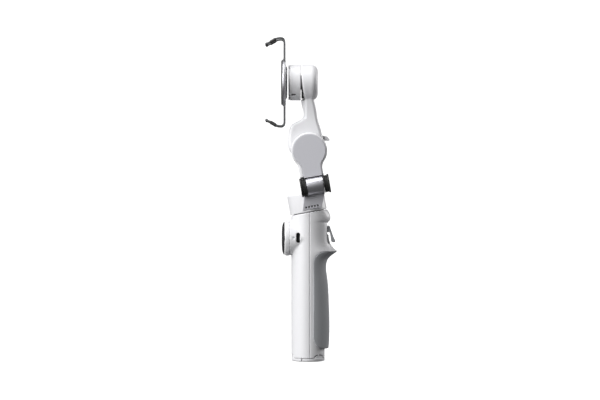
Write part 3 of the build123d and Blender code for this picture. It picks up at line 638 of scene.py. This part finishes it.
class GIMBAL_OT_rod(bpy.types.Operator):
    """The four drawn tubes of the telescopic rod, each with a rolled lip"""
    bl_idname = "gimbal.rod"
    bl_label = "Telescopic rod"

    def execute(self, context):
        finish_of_tube = finishes()["satin_chrome"]
        for n, body in enumerate(("rod_1", "rod_2", "rod_3", "pan_mount"), start=1):
            node = f"rod_stage_{n}"
            low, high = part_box(node)
            outer = (high.x - low.x) / 2 / MM
            inner = outer - 0.62
            centre = Matrix.Translation(((high.x + low.x) / 2, 0, 0))
            base, top = low.z / MM, high.z / MM
            tube_wall = lathe(f"rod_tube_{n}", [
                (inner, base), (outer, base), (outer, top - 2.2), (outer - 0.15, top - 2.0),
                (outer - 0.15, top - 1.6), (outer, top - 1.4), (outer, top - 0.2), (outer - 0.2, top),
                (inner, top)], centre, 0.1, 72, closed=True)
            placed(tube_wall, body, finish_of_tube, [node])
        return {"FINISHED"}


class GIMBAL_OT_pan_head(bpy.types.Operator):
    """The pan motor's white drum and the neck that rises from its side"""
    bl_idname = "gimbal.pan_head"
    bl_label = "Pan head"

    def execute(self, context):
        made = finishes()
        place = axis_frame("pan_turn")
        outer = radius_of("pan_drum", place)
        low, high = 0.6, along("pan_drum", place)[1]
        inner, roof = 14.4, high - 2.6
        drum = lathe("pan_drum_cover", [
            (0, roof), (inner, roof), (inner, low), (outer - 0.5, low), (outer, low + 0.5),
            (outer, high - 1.3), (outer - 0.35, high - 0.45), (outer - 1.3, high), (outer - 3.2, high),
            (outer - 3.3, high - 0.25), (outer - 3.6, high - 0.25), (outer - 3.7, high), (0, high)],
            place, 0.25, 128)
        shaft = lathe("pan_shaft", [(0, low + 1.2), (2.5, low + 1.2), (2.5, high - 2.4), (0, high - 2.4)],
                      place, 0.1, 48)
        placed(joined("pan_cover", [drum, shaft]), "pan_head", made["white_shell"],
               ["pan_drum"])
        placed(moulded("neck_moulding", ["neck_bracket"], 0.24, rounds=5), "pan_head",
               made["cool_grey_plastic"], ["neck_bracket"])
        # Soft black blocks sit in the neck's vent slots. They are painted shade of the slots' insides, which are
        # grey plastic in the part.
        vent = block("vent", (1.3, 0.9, 1.6), bevel=0.15)
        vent_shades = array_of("neck_vents", "row", vent, 5, 2.7, made["soft_black"],
                         place @ self.upright(place, -1.4, -17.35, 5.0))
        placed(vent_shades, "pan_head", made["soft_black"])
        return {"FINISHED"}

    def upright(self, place, u, v, w):
        """A spot of the leaning head: u along the hinge, v across the handle, w up the pan axis."""
        side = place.inverted().to_3x3() @ Vector((0, 1, 0))
        back = side.cross(Vector((0, 0, 1)))
        turn = Matrix((back, side, Vector((0, 0, 1)))).transposed().to_4x4()
        return turn @ Matrix.Translation(Vector((u, v, w)) * MM)


class GIMBAL_OT_hinge(bpy.types.Operator):
    """The fold hinge: a satin barrel between two black knurled discs"""
    bl_idname = "gimbal.hinge"
    bl_label = "Fold hinge"

    def execute(self, context):
        made = finishes()
        place = axis_frame("arm_fold")
        half = along("hinge_barrel", place)[1]
        outer, bore = radius_of("hinge_barrel", place), 3.06
        barrel = lathe("hinge_sleeve", [
            (bore, -half), (outer - 0.4, -half), (outer, 0.4 - half), (outer, half - 0.4),
            (outer - 0.4, half), (bore, half)], place, 0.12, 128, closed=True)
        placed(barrel, "pan_head", made["satin_chrome"], ["hinge_barrel"])

        far = along("hinge_fork", place)[1]
        rim, waist, near = 8.5, 7.35, half + 0.25
        pieces = []
        for side in (1, -1):
            turn = place @ Matrix.Rotation(0 if side > 0 else math.pi, 4, "X")
            disc = lathe("disc", [
                (3.0, near), (rim - 0.4, near), (rim - 0.2, near + 0.3), (rim - 0.3, near + 0.8),
                (waist, near + 1.1), (waist, far - 1.9), (rim - 0.2, far - 1.6), (rim, far - 1.3),
                (rim, far - 0.4), (rim - 0.4, far), (6.2, far), (6.1, far - 0.9), (3.0, far - 0.9)],
                turn, 0.12, 96, closed=True)
            rib = block("rib", (0.75, 0.5, far - near - 2.6), bevel=0.16)
            ribs = array_of("ribs", "ring", rib, looks().knurls, waist, made["black_metal"],
                            turn @ Matrix.Translation((0, 0, (near + far - 0.6) / 2 * MM)))
            edge = block("edge", (0.4, 0.55, 0.8), bevel=0.12)
            edges = array_of("edges", "ring", edge, looks().knurls, rim - 0.05, made["black_metal"],
                             turn @ Matrix.Translation((0, 0, (far - 0.85) * MM)))
            pieces += [disc, ribs, edges]
        pieces.append(self.saddle(place, half + 1.3))
        placed(joined("hinge_knurls", pieces), "lower_arm", made["black_metal"],
               ["hinge_fork"])
        return {"FINISHED"}

    def saddle(self, place, half):
        """The thin plate over the barrel that joins the two discs to the arm."""
        up = place.inverted().to_3x3() @ Vector((0, 0, 1))
        middle = math.atan2(up.y, up.x)
        outward = place.inverted().to_3x3() @ Vector((0, -1, 0))
        towards = 1 if math.sin(math.atan2(outward.y, outward.x) - middle) > 0 else -1
        inner, outer = 8.0, 8.9
        corners = [(inner, -half), (outer, -half), (outer, half), (inner, half)]
        section = softened(corners, 0.2, 3, closed=True)
        rings = []
        for degrees in range(-40, 5, 2):
            a = middle + towards * math.radians(degrees)
            rings.append([place @ (Vector((r * math.cos(a), r * math.sin(a), z)) * MM) for r, z in section])
        bm = bmesh.new()
        add_rings(bm, rings)
        return mesh_object("saddle", bm)


class GIMBAL_OT_lower_arm(bpy.types.Operator):
    """The lower arm's moulding and its grey cover"""
    bl_idname = "gimbal.lower_arm"
    bl_label = "Lower arm"

    def execute(self, context):
        made = finishes()
        placed(moulded("lower_arm_moulding", ["lower_arm_shell"], 0.3, rounds=7), "lower_arm",
               made["white_shell"], ["lower_arm_shell"])
        placed(moulded("lower_arm_plate", ["lower_arm_cover"], 0.2, rounds=5), "lower_arm",
               made["cool_grey_plastic"], ["lower_arm_cover"])
        return {"FINISHED"}


class GIMBAL_OT_upper_arm(bpy.types.Operator):
    """The upper arm and the rear half of the roll motor, moulded in one"""
    bl_idname = "gimbal.upper_arm"
    bl_label = "Upper arm"

    def execute(self, context):
        made, voxel = finishes(), looks().voxel
        arm_nodes = ["upper_arm_shell", "roll_rear_cap"]
        placed(moulded("upper_arm_moulding", arm_nodes, voxel, rounds=12), "upper_arm",
               made["white_shell"], arm_nodes)
        # A soft black wall closes the slanted cut in the rear cap. It is painted shade, standing in for the shade
        # on the arm's inner face below the roll drum.
        place = axis_frame("roll_turn")
        inner = radius_of("roll_rear_cap", place) - 1.55
        back, front = -7.0, -0.35
        shade_liner = lathe("roll_liner", [
            (inner - 0.5, back), (inner, back), (inner, front), (inner - 0.5, front)],
            place, 0.1, 128, closed=True)
        placed(shade_liner, "upper_arm", made["soft_black"])
        placed(moulded("parking_catch", ["parking_tab"], 0.2, rounds=5), "upper_arm",
               made["white_shell"], ["parking_tab"])
        placed(moulded("roll_drum_cover", ["roll_drum"], 0.3, rounds=6), "roll_head",
               made["white_shell"], ["roll_drum"])
        # Painted shade: a soft black block darkens the floor of the roll drum's notch.
        placed(self.recess_shade(), "roll_head", made["soft_black"])
        return {"FINISHED"}

    def recess_shade(self):
        """A soft black block at the floor of the notch in the roll drum, low on its near side: painted shade of
        the notch's depth.
        """
        behind_front, below_axis, round_axis = 3.5 * MM, 14.3 * MM, math.radians(-42)
        centre = Vector((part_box("roll_drum")[0].x + behind_front, 0, JOINTS["roll_turn"]["pos_m"][2]))
        return block("roll_recess", (4.0, 2.4, 1.0), Matrix.Translation(centre) @
                     Matrix.Rotation(round_axis, 4, "X") @ Matrix.Translation((0, 0, -below_axis)))


class GIMBAL_OT_clamp(bpy.types.Operator):
    """The round magnetic clamp with its pad and steel ring"""
    bl_idname = "gimbal.clamp"
    bl_label = "Clamp"

    def execute(self, context):
        made = finishes()
        place = axis_frame("roll_turn")
        low, high = along("clamp_body", place)
        outer = radius_of("clamp_body", place)
        body = lathe("clamp_housing", [
            (0, low), (outer - 1.0, low), (outer - 0.2, low + 0.5), (outer - 0.2, low + 0.9),
            (outer - 0.6, low + 1.0), (outer - 0.6, high - 0.3), (outer - 0.9, high), (0, high)],
            place, 0.2, 128)
        placed(body, "clamp", made["white_shell"], ["clamp_body"])
        band = lathe("clamp_band", [
            (outer - 0.7, low + 1.0), (outer - 0.1, low + 1.05), (outer, low + 1.5),
            (outer - 0.1, high - 0.6), (outer - 0.5, high - 0.05), (outer - 0.7, high - 0.05)],
            place, 0.15, 128, closed=True)
        placed(band, "clamp", made["satin_chrome"])
        low, high = along("clamp_pad", place)
        pad = lathe("clamp_cushion", [
            (0, low), (20.6, low), (20.6, high - 0.6), (20.0, high), (16.0, high), (15.8, high - 0.25),
            (15.2, high - 0.25), (15.0, high), (0, high)], place, 0.2, 128)
        placed(pad, "clamp", made["soft_black"], ["clamp_pad"])
        low, high = along("clamp_steel_ring", place)
        plate = lathe("clamp_steel", [
            (0, low + 0.5), (6.0, low + 0.5), (6.2, low), (13.3, low), (13.6, low + 0.1), (15.0, low + 0.8),
            (15.0, high), (0, high)], place, 0.1, 128)
        placed(plate, "clamp", made["steel"], ["clamp_steel_ring"])
        return {"FINISHED"}


class GIMBAL_OT_mount(bpy.types.Operator):
    """The plate on the roll motor that the clamp's steel ring snaps onto, with its three dark catches"""
    bl_idname = "gimbal.mount"
    bl_label = "Mount plate"

    def execute(self, context):
        made = finishes()
        placed(moulded("mount_moulding", ["mount_plate"], 0.2, rounds=4), "roll_head",
               made["white_shell"], ["mount_plate"])
        low, high = (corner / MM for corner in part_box("mount_plate"))
        catch = block("catch", (2.0, 1.6, 1.0), bevel=0.25)
        catches = array_of("mount_catches", "row", catch, 3, (high.z - low.z - 2.0) / 2, made["soft_black"],
                           Matrix.Translation(Vector((low.x + 0.55, 0, low.z + 1.0)) * MM) @
                           Matrix.Rotation(-math.pi / 2, 4, "Y"))
        placed(catches, "roll_head", made["soft_black"])
        return {"FINISHED"}


class GIMBAL_OT_jaws(bpy.types.Operator):
    """The two bent wire jaws, each with a soft sleeve over its lip"""
    bl_idname = "gimbal.jaws"
    bl_label = "Wire jaws"

    RADIUS = 0.9

    def execute(self, context):
        made = finishes()
        for side, up in (("upper", 1), ("lower", -1)):
            low, high = (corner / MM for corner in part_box(f"{side}_jaw_wire"))
            shank_x, lip_x = high.x - self.RADIUS, low.x + self.RADIUS
            half = high.y - self.RADIUS
            foot, crest = (low.z, high.z - self.RADIUS) if up > 0 else (high.z, low.z + self.RADIUS)
            path = self.bent_wire(shank_x, lip_x, half, foot, crest, up)
            wire = tube(f"{side}_wire", path, self.RADIUS * 0.98)
            placed(wire, f"{side}_jaw", made["spring_wire"], [f"{side}_jaw_wire"])
            placed(self.sleeve(f"{side}_sleeve", path, lip_x, half), f"{side}_jaw",
                   made["soft_black"], [f"{side}_jaw_sleeve"])
        return {"FINISHED"}

    def bent_wire(self, shank_x, lip_x, half, foot, crest, up):
        """The path of a jaw's wire: out of the clamp, over its crest, along the lip and back."""
        lip_z = crest - up * 5.2
        side = [(shank_x, foot), (shank_x, crest - up * 9.0), (shank_x, crest - up * 0.1),
                (shank_x - 6.6, crest), (lip_x + 5.2, lip_z + up * 2.3), (lip_x + 2.2, lip_z + up * 0.9)]
        near, far = ([(x, y, z) for x, z in side] for y in (half, -half))
        lip = [(lip_x + 0.4, half, lip_z), (lip_x, half - 1.6, lip_z - up * 0.2),
               (lip_x, 1.6 - half, lip_z - up * 0.2), (lip_x + 0.4, -half, lip_z)]
        return smooth_path(near + lip + far[::-1])

    def sleeve(self, name, path, lip_x, half):
        """The soft sleeve on a wire: one length on each slope and one along the lip."""
        slope = [p for p in path if 3.4 < p.x - lip_x < 8.6]
        lengths = ([p for p in slope if p.y > half - 0.2], [p for p in slope if p.y < 0.2 - half],
                   [p for p in path if abs(p.y) < half - 1.2 and p.x < lip_x + 0.4])
        return joined(name, [tube("cover", length, self.RADIUS + 0.45, tip=0.3) for length in lengths])


class GIMBAL_OT_tripod(bpy.types.Operator):
    """The three legs whose feet close the end of the handle"""
    bl_idname = "gimbal.tripod"
    bl_label = "Tripod"

    def execute(self, context):
        made = finishes()
        for n in (1, 2, 3):
            node = f"tripod_leg_{n}"
            placed(moulded(f"tripod_foot_{n}", [node], 0.26, rounds=2), f"leg_{n}",
                   made["foot_plastic"], [node])
        return {"FINISHED"}


class GIMBAL_OT_stage(bpy.types.Operator):
    """The pale floor, the lights and the camera"""
    bl_idname = "gimbal.stage"
    bl_label = "Stage"

    def execute(self, context):
        studio = context.scene.gimbal_studio
        floor = self.backdrop()
        paper = finish("backdrop", ((0.50, 0.50, 0.50), (0.52, 0.52, 0.52)), (0.7, 0.9), 0.05, spark(2.0),
                       emission=1.6)
        floor.data.materials.append(paper)
        floor.visible_diffuse = floor.visible_glossy = False
        world = bpy.data.worlds.new("surroundings")
        context.scene.world = world
        world.use_nodes = True
        background = world.node_tree.nodes["Background"]
        background.inputs["Color"].default_value = (1, 1, 1, 1)
        background.inputs["Strength"].default_value = studio.fill
        self.area("key", (-1.4, -1.15, 0.9), 1.8, studio.key)
        self.area("top", (-0.3, -0.2, 1.5), 0.7, studio.key * 0.22)
        self.area("rim", (1.3, 0.7, 0.5), 0.6, studio.key * 0.24)
        camera = bpy.data.cameras.new("camera")
        camera.sensor_width = 36.0
        camera.lens = camera.sensor_width * studio.distance / studio.view_width
        seen = bpy.data.objects.new("camera", camera)
        context.scene.collection.objects.link(seen)
        seen.location = Vector(studio.aim) + Vector((0, -studio.distance, 0))
        seen.rotation_euler = (math.pi / 2, 0, 0)
        context.scene.camera = seen
        context.scene.view_settings.view_transform = "Standard"
        return {"FINISHED"}

    def backdrop(self):
        """A floor that curves up behind the object into a wall."""
        half, bend_at, bend, top = 3.0, 0.9, 0.8, 2.6
        angles = [math.radians(9 * k) for k in range(1, 11)]
        curve = [(bend_at + bend * math.sin(a), bend - bend * math.cos(a)) for a in angles]
        profile = [(-half, 0), (bend_at, 0), *curve, (bend_at + bend, top)]
        bm = bmesh.new()
        rows = [[bm.verts.new((x, y, z)) for y, z in profile] for x in (-half, half)]
        for n in range(len(profile) - 1):
            bm.faces.new([rows[0][n], rows[1][n], rows[1][n + 1], rows[0][n + 1]])
        return mesh_object("backdrop", bm)

    def area(self, name, place, size, power):
        """A square soft light that faces the middle of the object."""
        data = bpy.data.lights.new(name, "AREA")
        data.size, data.energy = size, power
        light = bpy.data.objects.new(name, data)
        bpy.context.scene.collection.objects.link(light)
        light.location = place
        middle = (Vector(AT_LOAD[0]) + Vector(AT_LOAD[1])) / 2
        light.rotation_euler = (middle - light.location).to_track_quat("-Z", "Y").to_euler()


STEPS = (GIMBAL_OT_stage, GIMBAL_OT_frame_finishes, GIMBAL_OT_handle, GIMBAL_OT_trigger, GIMBAL_OT_dial,
         GIMBAL_OT_rod, GIMBAL_OT_pan_head, GIMBAL_OT_hinge, GIMBAL_OT_lower_arm, GIMBAL_OT_upper_arm,
         GIMBAL_OT_mount, GIMBAL_OT_clamp, GIMBAL_OT_jaws, GIMBAL_OT_tripod)


class GIMBAL_PT_panel(bpy.types.Panel):
    """Lists the pieces of the gimbal and their settings"""
    bl_label = "Phone gimbal"
    bl_idname = "GIMBAL_PT_panel"
    bl_space_type = "VIEW_3D"
    bl_region_type = "UI"
    bl_category = "Gimbal"

    def draw(self, context):
        for group in (context.scene.gimbal_looks, context.scene.gimbal_studio):
            box = self.layout.box()
            for key in group.__annotations__:
                box.prop(group, key)
        for step in STEPS:
            self.layout.operator(step.bl_idname)


CLASSES = (GimbalLooks, GimbalStudio, *STEPS, GIMBAL_PT_panel)


def register():
    for cls in CLASSES:
        bpy.utils.register_class(cls)
    bpy.types.Scene.gimbal_looks = PointerProperty(type=GimbalLooks)
    bpy.types.Scene.gimbal_studio = PointerProperty(type=GimbalStudio)


def unregister():
    del bpy.types.Scene.gimbal_studio, bpy.types.Scene.gimbal_looks
    for cls in reversed(CLASSES):
        bpy.utils.unregister_class(cls)


def main():
    register()
    for step in STEPS:
        getattr(bpy.ops.gimbal, step.bl_idname.split(".")[1])()


if __name__ == "__main__":
    main()
